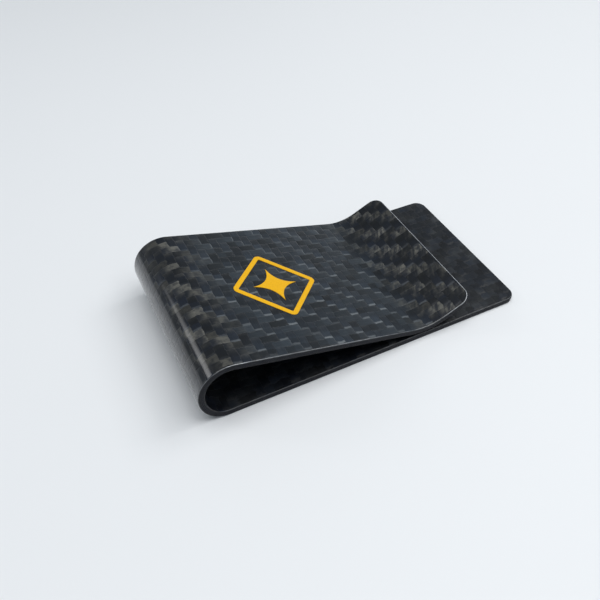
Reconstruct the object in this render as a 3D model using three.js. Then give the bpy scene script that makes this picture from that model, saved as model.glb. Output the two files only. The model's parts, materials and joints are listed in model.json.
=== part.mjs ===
// Money clip: one strip of carbon-fibre laminate, five plies thick, bent over on itself.
// The flat back leg lies along +X at z = 0. The bend is at -X. The spring arm comes back over the
// leg, slopes down to the throat, where it grips, and flares up again to the lip.
// Each ply has four sections: back leg, lower bend, upper bend and spring arm. The clip flexes where
// the two bends meet, at the strip's apex. Lengths are in millimetres and angles in degrees.
// Origin: bottom centre of the clip's bounding box. +Z is up.

import * as THREE from 'three';

// The strip
const clipWidth = 35;
const backLegLength = 63;          // bend's lower tangent to the leg's free end
const legCornerRadius = 2.2;
const lipCornerRadius = 2.4;
const edgeBevel = 0.22;            // on the long and end edges of the two face plies

// The layup, from the outside of the bend to the inside
const facePlyThickness = 0.25;
const corePlyThickness = 0.24;
const corePlyCount = 3;
const resinLine = 0.02;            // between one ply and the next

// The bend: three arcs of the outer face, from the back leg up and over to the arm
const lowerBendRadius = 5.05;
const lowerBendAngle = 51.3;
const middleBendRadius = 7.75;
const middleBendAngle = 59.2;
const upperBendRadius = 5.63;

// The spring arm
const armSlope = 15;               // down towards the lip
const throatRadius = 9.75;         // of the arm's upper face
const flareAngle = 26.4;           // of the lip above the back leg
const lipLength = 6.35;            // straight stretch past the throat
const gripGap = 0.3;               // throat to back leg, with nothing in the clip

// The cuts between sections
const flexGap = 0.16;              // at the apex, where the upper bend turns on the lower one
const sectionGap = 0.04;           // between sections that move together

// The printed emblem: a square stood on its corner round a four-point star
const emblemDistance = 15.6;       // from the bend's upper tangent, along the arm
const emblemSide = 12.8;
const emblemStroke = 0.95;
const emblemCornerRadius = 1.1;    // outside corner of the square
const starRadius = 4.6;
const starWaist = 0.25;            // pull of the star's sides towards its middle, as a share
const inkThickness = 0.08;
const inkLift = 0.02;              // clearance of the ink over the ply below it

// Facets
const facetAngle = 6;
const cornerFacets = 6;
const inkCurveFacets = 8;

const radians = THREE.MathUtils.degToRad;

// ---- Layup ----

function makePlies() {
  const names = ['outer_face_ply'];
  for (let k = 1; k <= corePlyCount; k++) names.push(`core_ply_${k}`);
  names.push('inner_face_ply');
  const plies = [];
  let depth = 0;
  for (const name of names) {
    const isFace = name.endsWith('face_ply');
    const thickness = isFace ? facePlyThickness : corePlyThickness;
    plies.push({
      name,
      isFace,
      levels: [
        { depth, inset: name === 'outer_face_ply' ? edgeBevel : 0 },
        { depth: depth + thickness, inset: name === 'inner_face_ply' ? edgeBevel : 0 },
      ],
    });
    depth += thickness + resinLine;
  }
  return plies;
}

const plies = makePlies();
const laminateThickness = plies[plies.length - 1].levels[1].depth;

// ---- Route of the strip's outer face in the XZ plane ----

// The point reached from a start at a constant curvature, positive to the left
function travel(start, curvature, distance) {
  const heading = start.heading + curvature * distance;
  if (curvature === 0) {
    return {
      x: start.x + distance * Math.cos(heading),
      z: start.z + distance * Math.sin(heading),
      heading,
    };
  }
  return {
    x: start.x + (Math.sin(heading) - Math.sin(start.heading)) / curvature,
    z: start.z - (Math.cos(heading) - Math.cos(start.heading)) / curvature,
    heading,
  };
}

// Stretches follow on from each other: each one starts where the last one ends
function chain(start, specs) {
  const stretches = [];
  let here = start;
  for (const { length, curvature } of specs) {
    stretches.push({ start: here, length, curvature });
    here = travel(here, curvature, length);
  }
  return { stretches, end: here };
}

function straight(length) {
  return { length, curvature: 0 };
}

function rightTurn(radius, angle) {
  return { length: radius * radians(angle), curvature: -1 / radius };
}

function leftTurn(radius, angle) {
  return { length: radius * radians(angle), curvature: 1 / radius };
}

// The apex is where the outer face stands upright, a quarter turn past the back leg
const apexTurn = 90;
const upperBendAngle = 180 + armSlope - lowerBendAngle - middleBendAngle;
const bendToApex = [
  rightTurn(lowerBendRadius, lowerBendAngle),
  rightTurn(middleBendRadius, apexTurn - lowerBendAngle),
];
const bendFromApex = [
  rightTurn(middleBendRadius, lowerBendAngle + middleBendAngle - apexTurn),
  rightTurn(upperBendRadius, upperBendAngle),
];
const tangent = { x: 0, z: 0, heading: Math.PI };
const apex = chain(tangent, bendToApex).end;
const bendEnd = chain(apex, bendFromApex).end;

// The straight part of the arm ends where the throat's inner face just clears the back leg
const throatDrop = (throatRadius + laminateThickness) * (1 - Math.cos(radians(armSlope)));
const armInnerHeight = bendEnd.z - laminateThickness * Math.cos(radians(armSlope));
const gripHeight = laminateThickness + gripGap;
const armStraightLength = (armInnerHeight - throatDrop - gripHeight) / Math.sin(radians(armSlope));

// The origin is midway between the apex and the back leg's free end
const legEnd = { x: (backLegLength - apex.x) / 2, z: 0, heading: Math.PI };

// ---- Sections, each a run of stretches that starts where the last one ends ----

const leg = chain(legEnd, [straight(backLegLength)]);
const lowerBend = chain(leg.end, bendToApex);
const upperBend = chain(lowerBend.end, bendFromApex);
const arm = chain(upperBend.end, [
  straight(armStraightLength),
  leftTurn(throatRadius, armSlope + flareAngle),
  straight(lipLength),
]);

const sections = [
  { name: 'back_leg', stretches: leg.stretches, startCut: null, endCut: sectionGap },
  { name: 'bend_lower', stretches: lowerBend.stretches, startCut: sectionGap, endCut: flexGap },
  { name: 'bend_upper', stretches: upperBend.stretches, startCut: flexGap, endCut: sectionGap },
  { name: 'spring_arm', stretches: arm.stretches, startCut: sectionGap, endCut: null },
];

// A station is a cross-section of the strip. For an inset from the strip's outline it gives the
// distance along its stretch and the half width there.
function plainStation(stretch, distance) {
  return { stretch, place: (inset) => ({ distance, half: clipWidth / 2 - inset }) };
}

// Stations round a pair of end corners. Turn 0 is where the corner starts and 90 is the end edge.
function cornerStation(stretch, radius, turn, atStart) {
  const place = (inset) => {
    const reach = radius - (radius - inset) * Math.sin(turn);
    return {
      distance: atStart ? reach : stretch.length - reach,
      half: clipWidth / 2 - radius + (radius - inset) * Math.cos(turn),
    };
  };
  return { stretch, place };
}

function cornerStations(stretch, radius, atStart) {
  const stations = [];
  for (let k = 0; k <= cornerFacets; k++) {
    const turn = (k / cornerFacets) * (Math.PI / 2);
    stations.push(cornerStation(stretch, radius, turn, atStart));
  }
  return atStart ? stations.reverse() : stations;
}

function sectionStations(section) {
  const stations = [];
  section.stretches.forEach((stretch, index) => {
    const first = index === 0;
    const last = index === section.stretches.length - 1;
    const freeStart = first && section.startCut === null;
    const freeEnd = last && section.endCut === null;
    const from = first ? section.startCut / 2 : 0;
    const to = stretch.length - (last ? section.endCut / 2 : 0);
    const turned = Math.abs(stretch.curvature) * (to - from);
    const steps = Math.max(1, Math.ceil(turned / radians(facetAngle)));
    if (freeStart) stations.push(...cornerStations(stretch, legCornerRadius, true));
    else if (first) stations.push(plainStation(stretch, from));
    for (let k = 1; k < steps; k++) {
      stations.push(plainStation(stretch, from + ((to - from) * k) / steps));
    }
    if (freeEnd) stations.push(...cornerStations(stretch, lipCornerRadius, false));
    else stations.push(plainStation(stretch, to));
  });
  return stations;
}

// ---- Solids ----

// The four corners of a ply's cross-section at a station, clockwise seen along the strip
function stationCorners(station, levels) {
  const corners = [];
  const sides = [[1, -1], [-1, 1]];
  levels.forEach(({ depth, inset }, index) => {
    const { distance, half } = station.place(inset);
    const { x, z, heading } = travel(station.stretch.start, station.stretch.curvature, distance);
    for (const side of sides[index]) {
      corners.push(
        new THREE.Vector3(x + depth * Math.sin(heading), side * half, z - depth * Math.cos(heading)),
      );
    }
  });
  return corners;
}

function plyGeometry(section, ply) {
  const rings = sectionStations(section).map((station) => stationCorners(station, ply.levels));
  const size = 4;
  const last = (rings.length - 1) * size;
  const index = [0, 2, 1, 0, 3, 2];
  for (let ring = 0; ring < last; ring += size) {
    for (let k = 0; k < size; k++) {
      const next = (k + 1) % size;
      index.push(ring + k, ring + next, ring + size + next);
      index.push(ring + k, ring + size + next, ring + size + k);
    }
  }
  index.push(last, last + 1, last + 2, last, last + 2, last + 3);
  const geometry = new THREE.BufferGeometry().setFromPoints(rings.flat());
  geometry.setIndex(index);
  geometry.computeVertexNormals();
  return geometry;
}

function squareShape(side, cornerRadius) {
  const half = side / 2;
  const shape = new THREE.Shape();
  for (let k = 0; k < 4; k++) {
    const start = (k * Math.PI) / 2;
    const centre = new THREE.Vector2(half - cornerRadius, half - cornerRadius);
    centre.rotateAround(new THREE.Vector2(), start);
    shape.absarc(centre.x, centre.y, cornerRadius, start, start + Math.PI / 2, false);
  }
  shape.closePath();
  return shape;
}

function emblemFrameGeometry() {
  const shape = squareShape(emblemSide, emblemCornerRadius);
  const innerCornerRadius = Math.max(emblemCornerRadius - emblemStroke, emblemStroke / 4);
  shape.holes.push(squareShape(emblemSide - 2 * emblemStroke, innerCornerRadius));
  return inkGeometry(shape);
}

function emblemStarGeometry() {
  const tip = (k) => new THREE.Vector2(starRadius, 0).rotateAround(new THREE.Vector2(), (k * Math.PI) / 2);
  const shape = new THREE.Shape();
  shape.moveTo(tip(0).x, tip(0).y);
  for (let k = 1; k <= 4; k++) {
    const waist = tip(k - 1).add(tip(k)).multiplyScalar(starWaist / 2);
    shape.quadraticCurveTo(waist.x, waist.y, tip(k).x, tip(k).y);
  }
  return inkGeometry(shape);
}

function inkGeometry(shape) {
  return new THREE.ExtrudeGeometry(shape, {
    depth: inkThickness,
    bevelEnabled: false,
    curveSegments: inkCurveFacets,
  });
}

// ---- Materials and assembly ----

const facePlyMaterial = new THREE.MeshStandardMaterial({ color: 0x2b2f34, roughness: 0.22, metalness: 0 });
const corePlyMaterial = new THREE.MeshStandardMaterial({ color: 0x1b1d20, roughness: 0.5, metalness: 0 });
const inkMaterial = new THREE.MeshStandardMaterial({ color: 0xf0b81c, roughness: 0.35, metalness: 0 });

function makeSection(section) {
  const group = new THREE.Group();
  for (const ply of plies) {
    const material = ply.isFace ? facePlyMaterial : corePlyMaterial;
    const mesh = new THREE.Mesh(plyGeometry(section, ply), material);
    mesh.name = `${section.name}_${ply.name}`;
    group.add(mesh);
  }
  return group;
}

// The emblem lies on the arm's upper face, turned with its slope
function makeEmblem() {
  const spot = travel(upperBend.end, 0, emblemDistance);
  const group = new THREE.Group();
  group.rotation.y = radians(armSlope);
  group.position.set(
    spot.x + inkLift * Math.sin(radians(armSlope)),
    0,
    spot.z + inkLift * Math.cos(radians(armSlope)),
  );
  const frame = new THREE.Mesh(emblemFrameGeometry(), inkMaterial);
  frame.name = 'emblem_frame';
  frame.rotation.z = Math.PI / 4;
  const star = new THREE.Mesh(emblemStarGeometry(), inkMaterial);
  star.name = 'emblem_star';
  group.add(frame, star);
  return group;
}

const moneyClip = new THREE.Group();
for (const section of sections) moneyClip.add(makeSection(section));
moneyClip.add(makeEmblem());

export default moneyClip;
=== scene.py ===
import json
import math

import bpy
from mathutils import Matrix, Vector

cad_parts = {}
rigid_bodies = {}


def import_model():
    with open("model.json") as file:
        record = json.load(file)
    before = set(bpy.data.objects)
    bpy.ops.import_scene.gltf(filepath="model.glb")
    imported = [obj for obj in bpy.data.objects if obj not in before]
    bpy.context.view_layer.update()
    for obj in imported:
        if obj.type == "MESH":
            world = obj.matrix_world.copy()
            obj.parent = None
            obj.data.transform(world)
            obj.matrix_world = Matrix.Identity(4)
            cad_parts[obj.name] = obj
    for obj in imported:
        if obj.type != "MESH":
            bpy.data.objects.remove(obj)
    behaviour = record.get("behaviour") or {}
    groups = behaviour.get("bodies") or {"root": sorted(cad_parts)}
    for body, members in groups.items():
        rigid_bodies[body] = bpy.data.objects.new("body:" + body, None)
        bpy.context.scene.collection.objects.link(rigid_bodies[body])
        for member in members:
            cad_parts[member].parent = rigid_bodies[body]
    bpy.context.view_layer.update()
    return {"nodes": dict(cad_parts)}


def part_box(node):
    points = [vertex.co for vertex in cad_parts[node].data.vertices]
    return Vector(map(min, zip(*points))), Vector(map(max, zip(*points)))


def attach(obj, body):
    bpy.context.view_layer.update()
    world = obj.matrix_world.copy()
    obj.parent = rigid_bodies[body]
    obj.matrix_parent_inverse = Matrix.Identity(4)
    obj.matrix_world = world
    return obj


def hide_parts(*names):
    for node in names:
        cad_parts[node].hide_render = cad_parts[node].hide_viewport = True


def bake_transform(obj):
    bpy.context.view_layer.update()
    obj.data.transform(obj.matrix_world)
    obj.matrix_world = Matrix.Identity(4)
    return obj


# Carbon-fibre money clip: a five-ply twill laminate strip bent over on itself, under a clear coat.
# Lengths in the dictionaries are millimetres and angles are degrees unless a note says otherwise.

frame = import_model()
mm = 0.001
sceneObjects = bpy.context.scene.collection.objects

legLow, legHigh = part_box("back_leg_outer_face_ply")
print("frame loaded,", len(frame["nodes"]), "nodes")


# the laminate's outer face, followed from the back leg's free end to the lip
strip = {
    "legEnd": legHigh.x / mm,
    "legLength": 63.0,
    "lowerRadius": 5.05,
    "lowerAngle": 51.3,
    "middleRadius": 7.75,
    "middleAngle": 59.2,
    "upperRadius": 5.63,
    "armSlope": 15.0,
    "throatRadius": 9.75,
    "flare": 26.4,
    "lipLength": 6.35,
    "gripGap": 0.3,
    "step": 0.1,              # between the route's points
}

layup = {
    "width": (legHigh.y - legLow.y) / mm,
    "facePly": 0.25,
    "corePly": 0.24,
    "corePlies": 3,
    "resinLine": 0.02,
    "legCorner": 2.2,
    "lipCorner": 2.4,
    "edgeRound": 0.21,        # on the two outside faces
    "lineRound": 0.03,        # where two plies meet in the cut edge
    "grid": 0.3,              # mesh spacing on the faces that show
    "coreGrid": 0.5,
    "seamRow": 0.02,          # a narrow row beside the seam keeps its shading flat
    "edgeRow": 0.05,
    "rimWidth": 0.035,        # inset at which the cut edge's finish has faded out
    "paintedLineInset": 0.087,      # inset of the painted highlight line along the bevel
    "paintedLineSpread": 0.06,
    "roundSteps": 5,
    "cornerSteps": 10,
    "sharpAngle": 50,         # shading breaks at edges sharper than this
}
laminate = 2 * layup["facePly"] + layup["corePlies"] * layup["corePly"] + 4 * layup["resinLine"]


def goAlong(start, turn, length):
    # start is (x, z, heading), and turn is in radians over the length, positive to the left
    x, z, heading = start
    if turn == 0:
        return (x + length * math.cos(heading), z + length * math.sin(heading), heading)
    radius = length / turn
    end = heading + turn
    x += radius * (math.sin(end) - math.sin(heading))
    z -= radius * (math.cos(end) - math.cos(heading))
    return (x, z, end)


def bendStretch(radius, angle, side=-1):
    return (radius * math.radians(angle), side * math.radians(angle))


def planRoute():
    slope = math.radians(strip["armSlope"])
    upperAngle = 180 + strip["armSlope"] - strip["lowerAngle"] - strip["middleAngle"]
    stretches = [
        (strip["legLength"], 0),
        bendStretch(strip["lowerRadius"], strip["lowerAngle"]),
        bendStretch(strip["middleRadius"], strip["middleAngle"]),
        bendStretch(strip["upperRadius"], upperAngle),
    ]
    here = (strip["legEnd"], 0, math.pi)
    for length, turn in stretches:
        here = goAlong(here, turn, length)
    # the arm's straight part runs down until the throat clears the back leg by the grip gap
    throatDrop = (strip["throatRadius"] + laminate) * (1 - math.cos(slope))
    armTop = here[1] - laminate * math.cos(slope)
    straight = (armTop - throatDrop - laminate - strip["gripGap"]) / math.sin(slope)
    seam = sum(length for length, turn in stretches)
    stretches += [
        (straight, 0),
        bendStretch(strip["throatRadius"], strip["armSlope"] + strip["flare"], 1),
        (strip["lipLength"], 0),
    ]
    return stretches, seam


stretches, seamAt = planRoute()
stripLength = sum(length for length, turn in stretches)


def routePoints():
    points = []
    here = (strip["legEnd"], 0, math.pi)
    for length, turn in stretches:
        steps = math.ceil(length / strip["step"])
        for k in range(steps):
            x, z, heading = goAlong(here, turn * k / steps, length * k / steps)
            points.append((x * mm, 0, z * mm))
        here = goAlong(here, turn, length)
    points.append((here[0] * mm, 0, here[1] * mm))
    return points


def makeRoute():
    curve = bpy.data.curves.new("stripRoute", "CURVE")
    curve.dimensions = "3D"
    points = routePoints()
    spline = curve.splines.new("POLY")
    spline.points.add(len(points) - 1)
    for point, place in zip(spline.points, points):
        point.co = (*place, 1)
    route = bpy.data.objects.new("stripRoute", curve)
    sceneObjects.link(route)
    return route


def setInput(tree, socket, value):
    if isinstance(value, bpy.types.NodeSocket):
        tree.links.new(value, socket)
    elif value is not None:
        socket.default_value = value


def addNode(tree, kind, inputs=None, **settings):
    node = tree.nodes.new(kind)
    for name, value in settings.items():
        setattr(node, name, value)
    for name, value in (inputs or {}).items():
        setInput(tree, node.inputs[name], value)
    return node


def addMath(tree, operation, *values):
    node = addNode(tree, "ShaderNodeMath", operation=operation)
    for place, value in enumerate(values):
        setInput(tree, node.inputs[place], value)
    return node.outputs[0]


def addRamp(tree, value, low, high, toLow=0.0, toHigh=1.0):
    inputs = {"Value": value, "From Min": low, "From Max": high, "To Min": toLow, "To Max": toHigh}
    return addNode(tree, "ShaderNodeMapRange", inputs, interpolation_type="SMOOTHSTEP").outputs["Result"]


def addMix(tree, share, first, second):
    change = addMath(tree, "MULTIPLY", share, addMath(tree, "SUBTRACT", second, first))
    return addMath(tree, "ADD", first, change)


def addColourMix(tree, share, first, second, blend="MIX"):
    node = addNode(tree, "ShaderNodeMix", data_type="RGBA", blend_type=blend)
    setInput(tree, node.inputs[0], share)
    setInput(tree, node.inputs[6], first)
    setInput(tree, node.inputs[7], second)
    return node.outputs[2]


def addCombined(tree, x, y, z):
    return addNode(tree, "ShaderNodeCombineXYZ", {"X": x, "Y": y, "Z": z}).outputs[0]


def addSplit(tree, vector):
    return addNode(tree, "ShaderNodeSeparateXYZ", {"Vector": vector}).outputs


def addVectors(tree, first, second):
    node = addNode(tree, "ShaderNodeVectorMath", operation="ADD")
    setInput(tree, node.inputs[0], first)
    setInput(tree, node.inputs[1], second)
    return node.outputs[0]


def addScaled(tree, vector, scale):
    node = addNode(tree, "ShaderNodeVectorMath", operation="SCALE")
    setInput(tree, node.inputs[0], vector)
    setInput(tree, node.inputs["Scale"], scale)
    return node.outputs[0]


# 2x2 twill of 3K tows, for the mesh and the finish; along is the strip's length, across its width
twill = {
    "pitchAlong": 1.70,
    "pitchAcross": 1.56,
    "floatLength": 2,         # crossings that a tow passes over before it goes under
    "endRamp": 4.0,           # how late a float dips at its ends, higher being later
    "sideRamp": 14.0,         # and at its sides
    "coatEndRamp": 4.0,       # the same for the dips in the coat
    "coatSideRamp": 2.0,
    "printThrough": 0.001,    # depth of the dips that the weave leaves in the coat
}


def weaveSums(tree, along, across):
    # along and across are counted in tows; each float covers two crossings
    alongPart = addMath(tree, "FRACT", along)
    acrossPart = addMath(tree, "FRACT", across)
    alongTow = addMath(tree, "FLOOR", along)
    acrossTow = addMath(tree, "FLOOR", across)
    span = twill["floatLength"]
    step = addMath(tree, "FLOORED_MODULO", addMath(tree, "ADD", alongTow, acrossTow), 2 * span)
    warp = addMath(tree, "LESS_THAN", step, span - 0.5)
    warpReach = addMath(tree, "MULTIPLY", addMath(tree, "ADD", step, alongPart), 1 / span)
    weftStep = addMath(tree, "SUBTRACT", step, span)
    weftReach = addMath(tree, "MULTIPLY", addMath(tree, "ADD", weftStep, acrossPart), 1 / span)
    return {
        "warp": warp,
        "reach": addMix(tree, warp, weftReach, warpReach),
        "side": addMix(tree, warp, alongPart, acrossPart),
        "alongTow": alongTow,
        "acrossTow": acrossTow,
        "step": step,
        "weftStep": weftStep,
    }


def pillow(tree, value, power):
    # 1 in the middle of a float and 0 at its border
    fromMiddle = addMath(tree, "ABSOLUTE", addMath(tree, "MULTIPLY_ADD", value, 2.0, -1.0))
    return addMath(tree, "SUBTRACT", 1.0, addMath(tree, "POWER", fromMiddle, power))


# forming lays a flat ply, or the ink on it, over the route
def makeFormingTree():
    tree = bpy.data.node_groups.new("formOverRoute", "GeometryNodeTree")
    sockets = [
        ("Flat Ply", "Geometry"),
        ("Route", "Object"),
        ("Tow Pitch Along", "Float"),
        ("Tow Pitch Across", "Float"),
        ("Print-through", "Float"),
        ("Finish", "Material"),
    ]
    for label, kind in sockets:
        tree.interface.new_socket(label, in_out="INPUT", socket_type="NodeSocket" + kind)
    tree.interface.new_socket("Formed Ply", in_out="OUTPUT", socket_type="NodeSocketGeometry")
    given = addNode(tree, "NodeGroupInput").outputs
    flat = addNode(tree, "GeometryNodeInputPosition").outputs[0]
    inMillimetres = addScaled(tree, flat, 1 / mm)
    place = addSplit(tree, inMillimetres)

    # the flat place is kept for the weave's finish
    stored = addNode(tree, "GeometryNodeStoreNamedAttribute", {"Geometry": given["Flat Ply"]},
                     data_type="FLOAT_VECTOR", domain="POINT")
    stored.inputs["Name"].default_value = "layup"
    setInput(tree, stored.inputs["Value"], inMillimetres)

    # small dips between the tows
    along = addMath(tree, "DIVIDE", place["X"], given["Tow Pitch Along"])
    across = addMath(tree, "DIVIDE", place["Y"], given["Tow Pitch Across"])
    sums = weaveSums(tree, along, across)
    rise = pillow(tree, sums["reach"], twill["coatEndRamp"])
    height = addMath(tree, "MULTIPLY", rise, pillow(tree, sums["side"], twill["coatSideRamp"]))
    dip = addMath(tree, "MULTIPLY", addMath(tree, "SUBTRACT", 1.0, height), given["Print-through"])
    shows = addNode(tree, "GeometryNodeInputNamedAttribute", {"Name": "dipSide"}, data_type="FLOAT")
    dip = addMath(tree, "MULTIPLY", dip, shows.outputs[0])
    level = addMath(tree, "MULTIPLY", addMath(tree, "ADD", place["Z"], dip), mm)

    # each point goes to its distance along the route, and out from it by its level
    bent = addNode(tree, "GeometryNodeObjectInfo", {"Object": given["Route"]})
    flatPlace = addSplit(tree, flat)
    sample = addNode(tree, "GeometryNodeSampleCurve", mode="LENGTH", use_all_curves=True)
    setInput(tree, sample.inputs["Curves"], bent.outputs["Geometry"])
    setInput(tree, sample.inputs["Length"], flatPlace["X"])
    heading = addSplit(tree, sample.outputs["Tangent"])
    outward = addCombined(tree, addMath(tree, "MULTIPLY", heading["Z"], -1.0), 0.0, heading["X"])
    onRoute = addVectors(tree, sample.outputs["Position"], addScaled(tree, outward, level))
    placed = addVectors(tree, onRoute, addCombined(tree, 0.0, flatPlace["Y"], 0.0))

    formed = addNode(tree, "GeometryNodeSetPosition")
    setInput(tree, formed.inputs["Geometry"], stored.outputs["Geometry"])
    setInput(tree, formed.inputs["Position"], placed)
    real = addNode(tree, "GeometryNodeRealizeInstances", {"Geometry": formed.outputs[0]})
    finished = addNode(tree, "GeometryNodeSetMaterial", {"Geometry": real.outputs[0]})
    setInput(tree, finished.inputs["Material"], given["Finish"])
    addNode(tree, "NodeGroupOutput", {"Formed Ply": finished.outputs[0]})
    return tree


def socketNames(tree):
    items = tree.interface.items_tree
    return {item.name: item.identifier for item in items if item.in_out == "INPUT"}


def formPiece(name, flatMesh, finish, printThrough=0.0):
    flatPiece = bpy.data.objects.new(name + "_flat", flatMesh)
    sceneObjects.link(flatPiece)
    forming = flatPiece.modifiers.new("forming", "NODES")
    forming.node_group = formingTree
    ids = socketNames(formingTree)
    forming[ids["Route"]] = route
    forming[ids["Tow Pitch Along"]] = twill["pitchAlong"]
    forming[ids["Tow Pitch Across"]] = twill["pitchAcross"]
    forming[ids["Print-through"]] = printThrough
    forming[ids["Finish"]] = finish
    bpy.context.view_layer.update()
    graph = bpy.context.evaluated_depsgraph_get()
    mesh = bpy.data.meshes.new_from_object(
        flatPiece.evaluated_get(graph), preserve_all_data_layers=True, depsgraph=graph)
    mesh.name = name
    bpy.data.objects.remove(flatPiece)
    mesh.shade_smooth()
    mesh.set_sharp_from_angle(angle=math.radians(layup["sharpAngle"]))
    piece = bpy.data.objects.new(name, mesh)
    sceneObjects.link(piece)
    return piece


def roundProfile(top, bottom, topRound, bottomRound, steps):
    # (level, inset) pairs down a ply's edge; levels are below the laminate's outer face
    profile = []
    turns = [math.pi / 2 * k / steps for k in range(steps + 1)]
    for turn in turns:
        profile.append((top - topRound * (1 - math.cos(turn)), topRound * (1 - math.sin(turn))))
    for turn in reversed(turns):
        profile.append((bottom + bottomRound * (1 - math.cos(turn)), bottomRound * (1 - math.sin(turn))))
    return profile


def spread(start, end, spacing):
    steps = max(1, round((end - start) / spacing))
    return [start + (end - start) * k / steps for k in range(steps + 1)]


def plyStations(start, end, spacing):
    # each station gives, for an inset from the outline, the distance along and the half width there
    half = layup["width"] / 2
    stations = []

    def cornerStation(edge, inward, radius, turn):
        def place(inset):
            reach = radius - (radius - inset) * math.sin(turn)
            return edge + inward * reach, half - radius + (radius - inset) * math.cos(turn)
        return place

    def plainStation(distance):
        return lambda inset: (distance, half - inset)

    steps = layup["cornerSteps"]
    turns = [math.pi / 2 * k / steps for k in range(steps + 1)]
    if start == 0:
        stations += [cornerStation(0, 1, layup["legCorner"], turn) for turn in reversed(turns)]
        low = layup["legCorner"]
    else:
        stations.append(plainStation(start))
        stations.append(plainStation(start + layup["seamRow"]))
        low = start + layup["seamRow"]
    if end == stripLength:
        last = [cornerStation(end, -1, layup["lipCorner"], turn) for turn in turns]
        high = end - layup["lipCorner"]
    else:
        last = [plainStation(end - layup["seamRow"]), plainStation(end)]
        high = end - layup["seamRow"]
    stations += [plainStation(distance) for distance in spread(low, high, spacing)[1:-1]]
    return stations + last


def flatPly(name, start, end, profile, showTop=False, showBottom=False):
    # a closed slab: rows of stations, walls down the edge profile, and gridded faces where they show
    stations = plyStations(start, end, layup["grid"] if showTop or showBottom else layup["coreGrid"])
    inner = layup["edgeRow"]
    if showTop or showBottom:
        middle = spread(-1, 1, 2 * layup["grid"] / layup["width"])
        nearEdge = 1 - 2 * inner / layup["width"]
        columns = [-1, -nearEdge] + middle[1:-1] + [nearEdge, 1]
    else:
        columns = [-1, 1]
    lastRow = len(stations) - 1
    lastColumn = len(columns) - 1
    # the outline, anticlockwise seen from above
    outline = [(0, c) for c in range(lastColumn, 0, -1)]
    outline += [(r, 0) for r in range(lastRow)]
    outline += [(lastRow, c) for c in range(lastColumn)]
    outline += [(r, lastColumn) for r in range(lastRow, 0, -1)]
    places = []
    dips = []
    rims = []
    bevels = []
    loops = []
    for level, inset in profile:
        loop = {}
        for row, column in outline:
            distance, half = stations[row](inset)
            loop[(row, column)] = len(places)
            places.append((distance * mm, columns[column] * half * mm, level * mm))
            dips.append(0)
            rims.append(max(0.0, 1 - inset / layup["rimWidth"]))
            # bevel marks where the painted highlight line lies along the bevel
            bevels.append(max(0.0, 1 - abs(inset - layup["paintedLineInset"]) / layup["paintedLineSpread"]))
        loops.append(loop)
    faces = []
    for upper, lower in zip(loops, loops[1:]):
        for k in range(len(outline)):
            one, other = outline[k], outline[(k + 1) % len(outline)]
            faces.append((upper[one], lower[one], lower[other], upper[other]))
    for loop, shows, side in ((loops[0], showTop, 1), (loops[-1], showBottom, -1)):
        grid = dict(loop)
        level, inset = profile[0] if side == 1 else profile[-1]
        if shows:
            for row in range(1, lastRow):
                distance, half = stations[row](inset)
                for column in range(1, lastColumn):
                    grid[(row, column)] = len(places)
                    places.append((distance * mm, columns[column] * half * mm, level * mm))
                    dips.append(-side)
                    rims.append(0.0)
                    bevels.append(0.0)
        for row in range(lastRow):
            if shows:
                strips = [(c, c + 1) for c in range(lastColumn)]
            else:
                strips = [(0, lastColumn)]
            for left, right in strips:
                near = [grid[(row, c)] for c in range(left, right + 1) if (row, c) in grid]
                far = [grid[(row + 1, c)] for c in range(left, right + 1) if (row + 1, c) in grid]
                faces.append(far + near[::-1] if side == 1 else near + far[::-1])
    mesh = bpy.data.meshes.new(name)
    mesh.from_pydata(places, [], faces)
    mesh.attributes.new("dipSide", "FLOAT", "POINT").data.foreach_set("value", dips)
    mesh.attributes.new("rim", "FLOAT", "POINT").data.foreach_set("value", rims)
    mesh.attributes.new("bevel", "FLOAT", "POINT").data.foreach_set("value", bevels)
    return mesh


def plyStack():
    # top and bottom levels of each ply, the outer face being level 0
    names = ["outer_face_ply"] + [f"core_ply_{k + 1}" for k in range(layup["corePlies"])] + ["inner_face_ply"]
    stack = []
    level = 0
    for name in names:
        isFace = name.endswith("face_ply")
        thickness = layup["facePly"] if isFace else layup["corePly"]
        stack.append({"name": name, "isFace": isFace, "top": level, "bottom": level - thickness})
        level -= thickness + layup["resinLine"]
    return stack


def newGroup(name, inputs, outputs):
    # sockets are (name, kind, default); kinds are Float, Vector and Color
    tree = bpy.data.node_groups.new(name, "ShaderNodeTree")
    for label, kind, value in inputs:
        socket = tree.interface.new_socket(label, in_out="INPUT", socket_type="NodeSocket" + kind)
        if value is not None:
            socket.default_value = value
    for label, kind in outputs:
        tree.interface.new_socket(label, in_out="OUTPUT", socket_type="NodeSocket" + kind)
    return tree, addNode(tree, "NodeGroupInput").outputs


def addGroup(tree, group, inputs):
    node = addNode(tree, "ShaderNodeGroup", node_tree=group)
    for name, value in inputs.items():
        setInput(tree, node.inputs[name], value)
    return node.outputs


def addNoise(tree, vector, scale, detail=2.0, roughness=0.5):
    inputs = {"Vector": vector, "Scale": scale, "Detail": detail, "Roughness": roughness}
    return addNode(tree, "ShaderNodeTexNoise", inputs).outputs["Fac"]


def addMapping(tree, vector, scale, turn=0.0, kind="POINT"):
    inputs = {"Vector": vector, "Rotation": (0, 0, math.radians(turn)), "Scale": scale}
    return addNode(tree, "ShaderNodeMapping", inputs, vector_type=kind).outputs[0]


def addDrift(tree, vector, scale, detail):
    # three noises, one for each axis
    noise = addNode(tree, "ShaderNodeTexNoise", {"Vector": vector, "Scale": scale, "Detail": detail})
    return addSplit(tree, noise.outputs["Color"])


def addTone(tree, x, y, z):
    place = addCombined(tree, x, y, z)
    return addNode(tree, "ShaderNodeTexWhiteNoise", {"Vector": place}).outputs["Value"]


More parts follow.
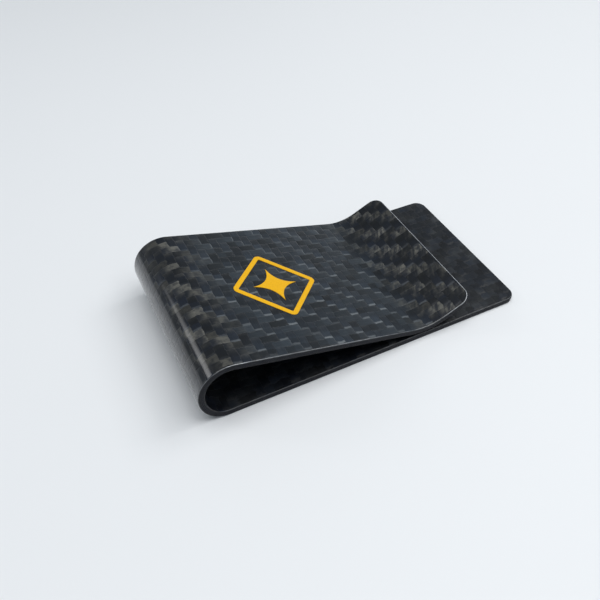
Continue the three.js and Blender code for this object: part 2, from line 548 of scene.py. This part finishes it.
# ranges are places along a float, from 0 at its start to 1 at its end
weaveLook = {
    "driftScale": 0.16,
    "rippleScale": 1.3,
    "weftEnd": (0.17, 0.09),  # where the near end of a float rises and gets its painted highlight
    "warpEnd": (0.92, 0.97),
    "warpEndShare": 0.5,
    "weftFar": (0.40, 0.75),  # where the far end gets its painted shade
    "warpFar": (0.60, 0.35),
    "warpFarShare": 0.45,
    "floatTone": 0.35,
    "towTone": 0.25,
    "crossingTone": 0.40,
    "crossingSeed": 5.0,
    "fibreStretch": 0.35,
    "fibreShift": 7.0,        # keeps the warp's fibres unlike the weft's
}


def makeTwillGroup():
    tree, given = newGroup(
        "twillWeave",
        [
            ("Layup", "Vector", None),
            ("Pitch Along", "Float", 1.6),
            ("Pitch Across", "Float", 1.6),
            ("Wander", "Float", 0.5),
            ("Wobble", "Float", 0.4),
            ("Fibre Scale", "Float", 9.0),
        ],
        [
            ("Warp", "Float"),
            ("Reach", "Float"),
            ("Height", "Float"),
            ("Near End", "Float"),
            ("Far End", "Float"),
            ("Tow Tone", "Float"),
            ("Fibres", "Float"),
        ],
    )
    place = addSplit(tree, given["Layup"])
    drift = addDrift(tree, given["Layup"], weaveLook["driftScale"], 1.0)
    ripple = addDrift(tree, given["Layup"], weaveLook["rippleScale"], 2.0)

    def towCount(distance, pitch, axis):
        swing = addMath(tree, "MULTIPLY", addMath(tree, "SUBTRACT", drift[axis], 0.5), given["Wander"])
        wobble = addMath(tree, "MULTIPLY", addMath(tree, "SUBTRACT", ripple[axis], 0.5), given["Wobble"])
        count = addMath(tree, "ADD", addMath(tree, "DIVIDE", distance, pitch), swing)
        return addMath(tree, "ADD", count, wobble)

    along = towCount(place["X"], given["Pitch Along"], "X")
    across = towCount(place["Y"], given["Pitch Across"], "Y")
    sums = weaveSums(tree, along, across)
    warp = sums["warp"]
    crown = pillow(tree, sums["side"], twill["sideRamp"])
    rise = pillow(tree, sums["reach"], twill["endRamp"])
    height = addMath(tree, "MULTIPLY", crown, rise)

    # painted highlight mask: a weft float turns up towards -Y at its near end, and a warp float ends towards
    # +X
    weftEnd = addRamp(tree, sums["reach"], *weaveLook["weftEnd"])
    warpEnd = addRamp(tree, sums["reach"], *weaveLook["warpEnd"])
    warpEnd = addMath(tree, "MULTIPLY", warpEnd, weaveLook["warpEndShare"])
    paintedEndGlint = addMath(tree, "MULTIPLY", addMix(tree, warp, weftEnd, warpEnd), crown)
    weftFar = addRamp(tree, sums["reach"], *weaveLook["weftFar"])
    warpFar = addRamp(tree, sums["reach"], *weaveLook["warpFar"])
    warpFar = addMath(tree, "MULTIPLY", warpFar, weaveLook["warpFarShare"])
    farEnd = addMix(tree, warp, weftFar, warpFar)

    # a tone for each tow, one for each float on it and one for each crossing
    warpStart = addMath(tree, "SUBTRACT", sums["alongTow"], sums["step"])
    weftStart = addMath(tree, "SUBTRACT", sums["acrossTow"], sums["weftStep"])
    floatAlong = addMix(tree, warp, sums["alongTow"], warpStart)
    floatAcross = addMix(tree, warp, weftStart, sums["acrossTow"])
    floatTone = addTone(tree, floatAlong, floatAcross, warp)
    towTone = addTone(tree, addMix(tree, warp, sums["alongTow"], sums["acrossTow"]), warp, 0.0)
    crossingTone = addTone(tree, sums["alongTow"], sums["acrossTow"], weaveLook["crossingSeed"])
    tone = addMath(tree, "MULTIPLY", towTone, weaveLook["towTone"])
    tone = addMath(tree, "MULTIPLY_ADD", floatTone, weaveLook["floatTone"], tone)
    tone = addMath(tree, "MULTIPLY_ADD", crossingTone, weaveLook["crossingTone"], tone)

    # fibres run lengthwise in their tow
    acrossFibre = addMath(tree, "MULTIPLY", addMix(tree, warp, place["X"], place["Y"]), given["Fibre Scale"])
    alongFibre = addMix(tree, warp, place["Y"], place["X"])
    alongFibre = addMath(tree, "MULTIPLY", alongFibre, weaveLook["fibreStretch"])
    fibreShift = addMath(tree, "MULTIPLY", warp, weaveLook["fibreShift"])
    fibres = addNoise(tree, addCombined(tree, acrossFibre, alongFibre, fibreShift), 1.0, 2.0, 0.6)
    addNode(tree, "NodeGroupOutput", {
        "Warp": warp,
        "Reach": sums["reach"],
        "Height": height,
        "Near End": paintedEndGlint,
        "Far End": farEnd,
        "Tow Tone": tone,
        "Fibres": fibres,
    })
    return tree


wearLook = {
    "patches": (0.42, 0.62),
    "speckleScale": 14.0,
    "smears": (0.4, 0.75),
    "hairlines": (0.74, 0.80),
    "hairlineTurn": 28,
    "hairlineStretch": (0.25, 9.0, 1.0),
}


def makeEdgeWearGroup():
    # 1 where an edge has been rubbed, broken up along its length
    tree, given = newGroup(
        "edgeWear",
        [("Layup", "Vector", None), ("Rim", "Float", 0.0), ("Scale", "Float", 1.2)],
        [("Wear", "Float"), ("Speckle", "Float")],
    )
    patches = addNoise(tree, given["Layup"], given["Scale"], 3.0, 0.6)
    wear = addMath(tree, "MULTIPLY", given["Rim"], addRamp(tree, patches, *wearLook["patches"]))
    speckle = addNoise(tree, given["Layup"], wearLook["speckleScale"], 2.0, 0.7)
    addNode(tree, "NodeGroupOutput", {"Wear": wear, "Speckle": speckle})
    return tree


def makeHandlingGroup():
    # faint smears and hairlines from being handled
    tree, given = newGroup(
        "handlingMarks",
        [("Layup", "Vector", None), ("Smear Scale", "Float", 0.12)],
        [("Smears", "Float"), ("Hairlines", "Float")],
    )
    smears = addNoise(tree, given["Layup"], given["Smear Scale"], 4.0, 0.55)
    smears = addRamp(tree, smears, *wearLook["smears"])
    turned = addMapping(tree, given["Layup"], wearLook["hairlineStretch"], wearLook["hairlineTurn"])
    hairlines = addRamp(tree, addNoise(tree, turned, 1.0, 1.0, 0.4), *wearLook["hairlines"])
    addNode(tree, "NodeGroupOutput", {"Smears": smears, "Hairlines": hairlines})
    return tree


twillGroup = makeTwillGroup()
edgeWearGroup = makeEdgeWearGroup()
handlingGroup = makeHandlingGroup()


def newFinish(name):
    material = bpy.data.materials.new(name)
    material.use_nodes = True
    tree = material.node_tree
    return material, tree, tree.nodes["Principled BSDF"].inputs


def readAttribute(tree, name, output):
    return addNode(tree, "ShaderNodeAttribute", attribute_name=name).outputs[output]


def addBump(tree, shader, height):
    # height is in millimetres
    bump = addNode(tree, "ShaderNodeBump", {"Height": height, "Distance": mm})
    setInput(tree, shader["Normal"], bump.outputs["Normal"])


# a range of four values is read as from, to, value before and value after
faceFinish = {
    "warp": (0.0162, 0.0220, 0.0285, 1),
    "weft": (0.0122, 0.0178, 0.0258, 1),
    "paintedSheenAndCloud": (0.074, 0.072, 0.063, 1),    # painted sheen where the strip curves; the same colour tints the random clouds on the flat
    # painted shade: the darker copy of the tows on the curves
    "paintedShadeOnCurve": (0.0026, 0.0045, 0.0095, 1),
    # painted highlight colour for the glints at the floats' raised ends
    "paintedEndGlint": (0.130, 0.145, 0.156, 1),
    "paintedBevelHighlight": (0.55, 0.58, 0.62, 1),
    "cutEdge": (0.0015, 0.0022, 0.0045, 1),
    "wear": (0.06, 0.06, 0.065, 1),
    "edgeWear": 0.35,
    "warpSheenPaint": (0.05, 0.55, 0.1, 1.0),         # where a float gets painted sheen along its length on the curves
    "weftSheenPaint": (0.60, 1.0, 0.0, 0.55),
    "patchScale": 0.6,
    "patches": (0.36, 0.60, 0.35, 1.0),
    "leafSlant": 58.7,        # on the lip the painted sheen on the tows is broken up by slanting leaf shapes
    "leafSize": (3.2, 0.8, 1.0),
    "leaves": (0.38, 0.60, 0.25, 1.3),
    "sheenPaintBegins": (-7.5, -4.5, 0.1, 1.0),       # distances from the seam
    "cloudScale": 0.16,
    "cloudRange": (0.42, 0.62),
    "cloud": 0.06,
    "toneSpan": (0.2, 0.8),
    "toneRange": (0.38, 1.45),
    "toneOnCurve": (0.35, 1.50),
    "streaks": (0.3, 0.7, 0.75, 1.3),
    "farShade": 0.35,
    "weftGlintPaint": (17.0, -4.0, 0.25, 1.0),        # places across the width
    "warpGlintPaint": (-12.0, 12.0, 0.35, 1.0),
    "glintPaintTone": (0.25, 0.75, 0.15, 1.0),
    "glintPaintLostOnCurve": 0.7,
    "lipLine": (-8, -3, 0.36, 1.0),              # distances from the lip's end
    "shoulderRises": (-2.5, -1),                 # and from the seam
    "shoulderFades": (3.5, 1),
    "lineScale": 0.7,
    "lineBreaks": (0.35, 0.6, 0.5, 1.0),
    "wander": 0.5,
    "wobble": 0.30,
    "fibreScale": 9.0,
    "weaveDepth": 0.08,
    "fibreDepth": 0.012,
    "roughness": 0.36,
    "roughnessSwing": 0.12,
    "rimRoughness": 0.5,
    "coat": 1.0,
    "hairlineDepth": 0.10,
    "coatRoughness": 0.085,
    "coatIndex": 1.5,
    "baseIndex": 1.45,
    "specular": 0.22,
}

# the inner face was against the mould's core: the same cloth under a thinner, duller coat
innerFinish = {
    **faceFinish,
    "warp": (0.0070, 0.0100, 0.0155, 1),
    "weft": (0.0045, 0.0069, 0.0118, 1),
    "paintedSheenAndCloud": (0.027, 0.0295, 0.0315, 1),
    "paintedEndGlint": (0.030, 0.031, 0.032, 1),
    "paintedBevelHighlight": (0.20, 0.21, 0.23, 1),
    "cloud": 0.7,
    "farShade": 0.5,
    "toneRange": (0.55, 1.35),
    "wobble": 0.9,
    "roughness": 0.5,
    "coat": 0.55,
    "coatRoughness": 0.16,
}


# where the strip starts and stops curving, as distances along it from flat to curved
throatLength = bendStretch(strip["throatRadius"], strip["armSlope"] + strip["flare"])[0]
throatAt = stripLength - strip["lipLength"] - throatLength
curves = {
    "bendStart": (strip["legLength"], strip["legLength"] + 4),
    "bendEnd": (seamAt + 7, seamAt - 1),
    "throat": (throatAt - 2, throatAt + 6),
}


def makeFaceFinish(name, look):
    material, tree, shader = newFinish(name)
    flatPlace = readAttribute(tree, "layup", "Vector")
    rim = readAttribute(tree, "rim", "Fac")
    weave = addGroup(tree, twillGroup, {
        "Layup": flatPlace,
        "Pitch Along": twill["pitchAlong"],
        "Pitch Across": twill["pitchAcross"],
        "Wander": look["wander"],
        "Wobble": look["wobble"],
        "Fibre Scale": look["fibreScale"],
    })
    worn = addGroup(tree, edgeWearGroup, {"Layup": flatPlace, "Rim": rim})
    marks = addGroup(tree, handlingGroup, {"Layup": flatPlace})

    place = addSplit(tree, flatPlace)
    bendShare = addMath(tree, "MULTIPLY", addRamp(tree, place["X"], *curves["bendStart"]),
                        addRamp(tree, place["X"], *curves["bendEnd"]))
    onLip = addRamp(tree, place["X"], *curves["throat"])
    curved = addMath(tree, "MAXIMUM", bendShare, onLip)
    fromSeam = addMath(tree, "SUBTRACT", place["X"], seamAt)
    fromLipEnd = addMath(tree, "SUBTRACT", place["X"], stripLength)

    # painted sheen over painted shade: on the curves a float is painted lighter along its length, in patches,
    # over a darker shaded colour
    warpSheenPaint = addRamp(tree, weave["Reach"], *look["warpSheenPaint"])
    weftSheenPaint = addRamp(tree, weave["Reach"], *look["weftSheenPaint"])
    patches = addNoise(tree, flatPlace, look["patchScale"], 2.0, 0.6)
    patches = addRamp(tree, patches, *look["patches"])
    light = addMath(tree, "MULTIPLY", addMix(tree, weave["Warp"], weftSheenPaint, warpSheenPaint), patches)
    slanted = addMapping(tree, flatPlace, look["leafSize"], look["leafSlant"], "TEXTURE")
    leaves = addRamp(tree, addNoise(tree, slanted, 1.0, 2.0, 0.5), *look["leaves"])
    light = addMath(tree, "MULTIPLY", light, addMix(tree, onLip, 1.0, leaves))
    light = addMath(tree, "MULTIPLY", light, addRamp(tree, fromSeam, *look["sheenPaintBegins"]))
    onCurve = addColourMix(tree, light, look["paintedShadeOnCurve"], look["paintedSheenAndCloud"])

    onFlat = addColourMix(tree, weave["Warp"], look["weft"], look["warp"])
    cloud = addNoise(tree, flatPlace, look["cloudScale"], 3.0, 0.6)
    cloud = addRamp(tree, cloud, *look["cloudRange"], 0.0, look["cloud"])
    onFlat = addColourMix(tree, cloud, onFlat, look["paintedSheenAndCloud"])
    colour = addColourMix(tree, curved, onFlat, onCurve)

    # tones of the tows, streaks of the fibres and shade at the far ends
    flatTone = addRamp(tree, weave["Tow Tone"], *look["toneSpan"], *look["toneRange"])
    curveTone = addRamp(tree, weave["Tow Tone"], *look["toneSpan"], *look["toneOnCurve"])
    tone = addMix(tree, curved, flatTone, curveTone)
    streaks = addRamp(tree, weave["Fibres"], *look["streaks"])
    shade = addMath(tree, "MULTIPLY_ADD", weave["Far End"], -look["farShade"], 1.0)
    strength = addMath(tree, "MULTIPLY", addMath(tree, "MULTIPLY", tone, streaks), shade)
    grey = addCombined(tree, strength, strength, strength)
    colour = addColourMix(tree, 1.0, colour, grey, "MULTIPLY")

    # painted highlight: the raised ends of floats are painted as glints, weft towards the near edge, warp
    # towards the far one
    weftGlintPaint = addRamp(tree, place["Y"], *look["weftGlintPaint"])
    warpGlintPaint = addRamp(tree, place["Y"], *look["warpGlintPaint"])
    glint = addMath(tree, "MULTIPLY", weave["Near End"], addMix(tree, weave["Warp"], weftGlintPaint, warpGlintPaint))
    glint = addMath(tree, "MULTIPLY", glint, addRamp(tree, weave["Tow Tone"], *look["glintPaintTone"]))
    kept = addMath(tree, "MULTIPLY_ADD", curved, -look["glintPaintLostOnCurve"], 1.0)
    glint = addMath(tree, "MULTIPLY", glint, kept)
    colour = addColourMix(tree, glint, colour, look["paintedEndGlint"])

    # painted highlight: a pale line along the bevel, strongest round the lip and at the bend's shoulder
    lipHighlightShare = addRamp(tree, fromLipEnd, *look["lipLine"])
    shoulder = addMath(tree, "MULTIPLY", addRamp(tree, fromSeam, *look["shoulderRises"]),
                       addRamp(tree, fromSeam, *look["shoulderFades"]))
    paintedHighlightShare = addMath(tree, "MAXIMUM", lipHighlightShare, shoulder)
    bevel = addMath(tree, "MULTIPLY", readAttribute(tree, "bevel", "Fac"), paintedHighlightShare)
    breaks = addRamp(tree, addNoise(tree, flatPlace, look["lineScale"]), *look["lineBreaks"])
    bevel = addMath(tree, "MULTIPLY", bevel, breaks)
    colour = addColourMix(tree, bevel, colour, look["paintedBevelHighlight"])
    rubbed = addMath(tree, "MULTIPLY", worn["Wear"], look["edgeWear"])
    edge = addColourMix(tree, rubbed, look["cutEdge"], look["wear"])
    setInput(tree, shader["Base Color"], addColourMix(tree, rim, colour, edge))

    swing = look["roughnessSwing"]
    rough = addMath(tree, "MULTIPLY_ADD", weave["Fibres"], swing, look["roughness"] - swing / 2)
    setInput(tree, shader["Roughness"], addMix(tree, rim, rough, look["rimRoughness"]))
    coat = addMath(tree, "MULTIPLY_ADD", marks["Hairlines"], -look["hairlineDepth"], look["coat"])
    setInput(tree, shader["Coat Weight"], addMix(tree, rim, coat, 0.0))
    shader["Coat Roughness"].default_value = look["coatRoughness"]
    shader["Coat IOR"].default_value = look["coatIndex"]
    shader["IOR"].default_value = look["baseIndex"]
    shader["Specular IOR Level"].default_value = look["specular"]

    height = addMath(tree, "MULTIPLY", weave["Height"], look["weaveDepth"])
    height = addMath(tree, "MULTIPLY_ADD", weave["Fibres"], look["fibreDepth"], height)
    height = addMath(tree, "MULTIPLY", height, addMath(tree, "SUBTRACT", 1.0, rim))
    addBump(tree, shader, height)
    return material


coreFinish = {
    "fibre": (0.012, 0.014, 0.022, 1),
    "resin": (0.003, 0.0035, 0.006, 1),
    "wear": (0.018, 0.018, 0.022, 1),
    "wearScale": 0.8,
    "wearShare": 0.3,
    "grainStretch": (0.5, 0.5, 22.0),    # the plies' fibres run along the edge
    "grain": (0.35, 0.65),
    "grainDepth": 0.02,
    "roughness": (0.3, 0.7, 0.35, 0.6),
    "coat": 0.05,
    "coatRoughness": 0.25,
    "specular": 0.12,
}


def makeCoreFinish():
    material, tree, shader = newFinish("cutEdgeCarbon")
    flatPlace = readAttribute(tree, "layup", "Vector")
    rim = readAttribute(tree, "rim", "Fac")
    worn = addGroup(tree, edgeWearGroup, {"Layup": flatPlace, "Rim": rim, "Scale": coreFinish["wearScale"]})
    stretched = addMapping(tree, flatPlace, coreFinish["grainStretch"])
    bundles = addNoise(tree, stretched, 1.0, 3.0, 0.6)
    grain = addRamp(tree, bundles, *coreFinish["grain"])
    colour = addColourMix(tree, grain, coreFinish["resin"], coreFinish["fibre"])
    rubbed = addMath(tree, "MULTIPLY", worn["Wear"], coreFinish["wearShare"])
    setInput(tree, shader["Base Color"], addColourMix(tree, rubbed, colour, coreFinish["wear"]))
    setInput(tree, shader["Roughness"], addRamp(tree, worn["Speckle"], *coreFinish["roughness"]))
    shader["Coat Weight"].default_value = coreFinish["coat"]
    shader["Specular IOR Level"].default_value = coreFinish["specular"]
    shader["Coat Roughness"].default_value = coreFinish["coatRoughness"]
    addBump(tree, shader, addMath(tree, "MULTIPLY", bundles, coreFinish["grainDepth"]))
    return material


inkFinish = {
    "fresh": (0.86, 0.465, 0.002, 1),
    "thin": (0.76, 0.39, 0.001, 1),
    "wear": (0.50, 0.27, 0.01, 1),
    "wearScale": 2.5,
    "wearShare": 0.4,
    "coverScale": 6.0,
    "cover": (0.3, 0.7),
    "smearScale": 0.5,
    "smearRoughness": 0.12,
    "grainScale": 18.0,
    "grainDepth": 0.006,
    "roughness": 0.45,
    "coat": 0.15,
    "coatRoughness": 0.10,
    "specular": 0.25,
}


def makeInkFinish():
    material, tree, shader = newFinish("printedYellowInk")
    flatPlace = readAttribute(tree, "layup", "Vector")
    rim = readAttribute(tree, "rim", "Fac")
    worn = addGroup(tree, edgeWearGroup, {"Layup": flatPlace, "Rim": rim, "Scale": inkFinish["wearScale"]})
    marks = addGroup(tree, handlingGroup, {"Layup": flatPlace, "Smear Scale": inkFinish["smearScale"]})
    cover = addNoise(tree, flatPlace, inkFinish["coverScale"], 3.0, 0.6)
    cover = addRamp(tree, cover, *inkFinish["cover"])
    colour = addColourMix(tree, cover, inkFinish["thin"], inkFinish["fresh"])
    rubbed = addMath(tree, "MULTIPLY", worn["Wear"], inkFinish["wearShare"])
    setInput(tree, shader["Base Color"], addColourMix(tree, rubbed, colour, inkFinish["wear"]))
    smears = addMath(tree, "MULTIPLY", marks["Smears"], inkFinish["smearRoughness"])
    setInput(tree, shader["Roughness"], addMath(tree, "ADD", smears, inkFinish["roughness"]))
    shader["Coat Weight"].default_value = inkFinish["coat"]
    shader["Specular IOR Level"].default_value = inkFinish["specular"]
    shader["Coat Roughness"].default_value = inkFinish["coatRoughness"]
    grain = addNoise(tree, flatPlace, inkFinish["grainScale"], 2.0, 0.5)
    addBump(tree, shader, addMath(tree, "MULTIPLY", grain, inkFinish["grainDepth"]))
    return material


finishes = {
    "outer_face_ply": makeFaceFinish("clearCoatedTwill", faceFinish),
    "inner_face_ply": makeFaceFinish("innerTwill", innerFinish),
    "core": makeCoreFinish(),
    "ink": makeInkFinish(),
}
print("finishes ready")


route = makeRoute()
formingTree = makeFormingTree()


def plyProfile(ply):
    topRound = layup["edgeRound"] if ply["name"] == "outer_face_ply" else layup["lineRound"]
    bottomRound = layup["edgeRound"] if ply["name"] == "inner_face_ply" else layup["lineRound"]
    return roundProfile(ply["top"], ply["bottom"], topRound, bottomRound, layup["roundSteps"])


def makePly(ply):
    name = ply["name"]
    profile = plyProfile(ply)
    finish = finishes[name if ply["isFace"] else "core"]
    shows = {"showTop": name == "outer_face_ply", "showBottom": name == "inner_face_ply"}
    depth = twill["printThrough"] if ply["isFace"] else 0.0
    lower = flatPly(name + "_leg_and_bend", 0, seamAt, profile, **shows)
    lower = formPiece(name + "_leg_and_bend", lower, finish, depth)
    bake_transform(lower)
    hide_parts(f"back_leg_{name}", f"bend_lower_{name}", f"bend_upper_{name}")
    arm = flatPly(name + "_arm", seamAt, stripLength, profile, **shows)
    arm = formPiece(name + "_arm", arm, finish, depth)
    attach(arm, "spring_arm")
    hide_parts(f"spring_arm_{name}")
    return lower, arm


for ply in plyStack():
    made = makePly(ply)
    print("ply", ply["name"], [len(piece.data.polygons) for piece in made], "faces")


# the printed emblem: a rhombus frame with a four-pointed star in it
emblem = {
    "distance": 15.6,         # its centre, along the arm from the bend
    "side": 12.8,
    "stroke": 0.95,
    "corner": 1.1,
    "starRadius": 4.6,
    "starWaist": 0.25,
    "starInset": 1.5,         # an inset shrinks the star by its share of this
    "starMiddle": 0.5,        # size of the ring of points on the star's flat top
    "lift": 0.012,
    "top": 0.10,              # above the arm's face
    "shoulder": 0.045,        # height of the ink's rounded edge
    "shoulderSteps": 4,
    "cornerSteps": 10,
    "sideSteps": 14,
}


def squareOutline(side, radius):
    half = side / 2
    points = []
    for corner in range(4):
        start = math.pi / 2 * corner
        centre = Vector((half - radius, half - radius))
        centre.rotate(Matrix.Rotation(start, 2))
        for k in range(emblem["cornerSteps"] + 1):
            turn = start + math.pi / 2 * k / emblem["cornerSteps"]
            points.append(centre + radius * Vector((math.cos(turn), math.sin(turn))))
    quarter = Matrix.Rotation(math.pi / 4, 2)
    return [quarter @ point for point in points]


def starOutline(share):
    tips = [emblem["starRadius"] * Vector((math.cos(turn), math.sin(turn)))
            for turn in (math.pi / 2 * k for k in range(5))]
    points = []
    for tip, nextTip in zip(tips, tips[1:]):
        waist = (tip + nextTip) * emblem["starWaist"] / 2
        for k in range(emblem["sideSteps"]):
            t = k / emblem["sideSteps"]
            points.append(share * ((1 - t) ** 2 * tip + 2 * t * (1 - t) * waist + t * t * nextTip))
    return points


def inkLevels():
    # (level, inset) pairs up the ink's edge
    shoulder, steps = emblem["shoulder"], emblem["shoulderSteps"]
    levels = [(emblem["lift"], 0.0)]
    for k in range(steps + 1):
        turn = math.pi / 2 * k / steps
        level = emblem["top"] - shoulder + shoulder * math.sin(turn)
        levels.append((level, shoulder * (1 - math.cos(turn))))
    return levels


def inkMesh(name, rings, faces, rims):
    centre = seamAt + emblem["distance"]
    places = [((centre + point.x) * mm, point.y * mm, level * mm) for level, ring in rings for point in ring]
    mesh = bpy.data.meshes.new(name)
    mesh.from_pydata(places, [], faces)
    mesh.attributes.new("dipSide", "FLOAT", "POINT").data.foreach_set("value", [0.0] * len(places))
    mesh.attributes.new("rim", "FLOAT", "POINT").data.foreach_set("value", rims)
    return mesh


def ringFaces(first, second, count):
    faces = []
    for k in range(count):
        following = (k + 1) % count
        faces.append((first + k, first + following, second + following, second + k))
    return faces


def flatFrame():
    # rings go up the outside, over the top and down the inside, and close on themselves below
    side, corner, stroke = emblem["side"], emblem["corner"], emblem["stroke"]
    innerCorner = max(corner - stroke, stroke / 4)
    rings = [(level, squareOutline(side - 2 * inset, corner - inset)) for level, inset in inkLevels()]
    rings += [(level, squareOutline(side - 2 * stroke + 2 * inset, innerCorner + inset))
              for level, inset in reversed(inkLevels())]
    count = len(rings[0][1])
    faces = []
    for k in range(len(rings)):
        faces += ringFaces(k * count, (k + 1) % len(rings) * count, count)
    levels = len(inkLevels())
    flatRings = (levels - 1, levels)
    rims = [0.0 if k in flatRings else 1.0 for k in range(len(rings)) for point in range(count)]
    return inkMesh("emblem_frame_ink", rings, faces, rims)


def flatStar():
    rings = [(level, starOutline(1 - inset / emblem["starInset"])) for level, inset in inkLevels()]
    rings.append((emblem["top"], starOutline(emblem["starMiddle"])))
    count = len(rings[0][1])
    faces = []
    for k in range(len(rings) - 1):
        faces += ringFaces(k * count, (k + 1) * count, count)
    last = (len(rings) - 1) * count
    rims = [0.0 if k >= len(rings) - 2 else 1.0 for k in range(len(rings)) for point in range(count)]
    centre = len(rings) * count
    rings.append((emblem["top"], [Vector((0, 0))]))
    rims.append(0.0)
    faces += [(last + k, last + (k + 1) % count, centre) for k in range(count)]
    under = centre + 1
    rings.append((emblem["lift"], [Vector((0, 0))]))
    rims.append(1.0)
    faces += [((k + 1) % count, k, under) for k in range(count)]
    return inkMesh("emblem_star_ink", rings, faces, rims)


for flatInk, node in ((flatFrame(), "emblem_frame"), (flatStar(), "emblem_star")):
    ink = formPiece(flatInk.name, flatInk, finishes["ink"])
    ink.name = node + "_ink"
    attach(ink, "spring_arm")
    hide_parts(node)
print("emblem printed")

bpy.data.curves.remove(route.data)


floorLook = {
    "reach": 1.6,             # metres
    "colour": (0.80, 0.815, 0.83, 1),
    "cloudColour": (0.7, 0.72, 0.74, 1),
    "cloudScale": 6.0,
    "cloudShare": 0.12,
    "roughness": 0.55,
}


def makeFloor():
    reach = floorLook["reach"]
    mesh = bpy.data.meshes.new("studioFloor")
    corners = [(-reach, -reach, 0), (reach, -reach, 0), (reach, reach, 0), (-reach, reach, 0)]
    mesh.from_pydata(corners, [], [(0, 1, 2, 3)])
    floor = bpy.data.objects.new("studioFloor", mesh)
    sceneObjects.link(floor)
    material, tree, shader = newFinish("paleFloor")
    place = addNode(tree, "ShaderNodeTexCoord").outputs["Object"]
    cloud = addNoise(tree, place, floorLook["cloudScale"], 3.0)
    cloud = addMath(tree, "MULTIPLY", cloud, floorLook["cloudShare"])
    colour = addColourMix(tree, cloud, floorLook["colour"], floorLook["cloudColour"])
    setInput(tree, shader["Base Color"], colour)
    shader["Roughness"].default_value = floorLook["roughness"]
    mesh.materials.append(material)
    return floor


# softboxes by compass bearing from +X, height angle, distance, size (metres) and power (watts)
softboxes = {
    "overheadSoftbox": {"bearing": 182, "height": 79, "distance": 0.70, "size": (0.50, 0.50), "power": 2.2},
    "frontSoftbox": {"bearing": -40, "height": 64, "distance": 0.65, "size": (0.35, 0.35), "power": 1.3},
    "keySoftbox": {"bearing": 2, "height": 50, "distance": 0.60, "size": (0.24, 0.24), "power": 0.90},
    "rearStrip": {"bearing": 44, "height": 9, "distance": 0.80, "size": (0.60, 0.10), "power": 0.35},
    "bendStrip": {"bearing": 144, "height": 27, "distance": 0.60, "size": (0.22, 0.15), "power": 0.010,
                  "spread": 28},
}
roomLight = {"colour": (0.79, 0.90, 1.0, 1), "strength": 0.24}


def makeLights():
    for name, box in softboxes.items():
        light = bpy.data.lights.new(name, "AREA")
        light.shape = "RECTANGLE"
        light.size, light.size_y = box["size"]
        light.energy = box["power"]
        light.spread = math.radians(box.get("spread", 180))
        lamp = bpy.data.objects.new(name, light)
        bearing, height = math.radians(box["bearing"]), math.radians(box["height"])
        across = math.cos(height)
        towards = Vector((math.cos(bearing) * across, math.sin(bearing) * across, math.sin(height)))
        lamp.location = towards * box["distance"]
        lamp.rotation_euler = towards.to_track_quat("Z", "Y").to_euler()
        sceneObjects.link(lamp)
    world = bpy.data.worlds.new("studioRoom")
    world.use_nodes = True
    background = world.node_tree.nodes["Background"].inputs
    background["Color"].default_value = roomLight["colour"]
    background["Strength"].default_value = roomLight["strength"]
    bpy.context.scene.world = world


camera = {
    "bearing": -28.166,       # degrees round from looking along +Y
    "height": 46.176,
    "roll": 1.713,
    "distance": 128.70,
    "target": (-6.56, 0.04, 2.13),
    "lens": 38.67,
    "sensor": 36.0,
    "clipStart": 10,
}


def makeCamera():
    data = bpy.data.cameras.new("clipCamera")
    data.lens = camera["lens"]
    data.sensor_width = camera["sensor"]
    data.clip_start = camera["clipStart"] * mm
    bearing, height = math.radians(camera["bearing"]), math.radians(camera["height"])
    across = math.cos(height)
    back = Vector((math.sin(bearing) * across, -math.cos(bearing) * across, math.sin(height)))
    eye = bpy.data.objects.new("clipCamera", data)
    eye.location = Vector(camera["target"]) * mm + back * camera["distance"] * mm
    facing = (-back).to_track_quat("-Z", "Y").to_matrix()
    roll = Matrix.Rotation(math.radians(camera["roll"]), 3, "Z")
    eye.rotation_euler = (facing @ roll).to_euler()
    sceneObjects.link(eye)
    bpy.context.scene.camera = eye


makeFloor()
makeLights()
makeCamera()
bpy.context.scene.view_settings.view_transform = "Standard"
print("stage lit")

bpy.context.view_layer.update()
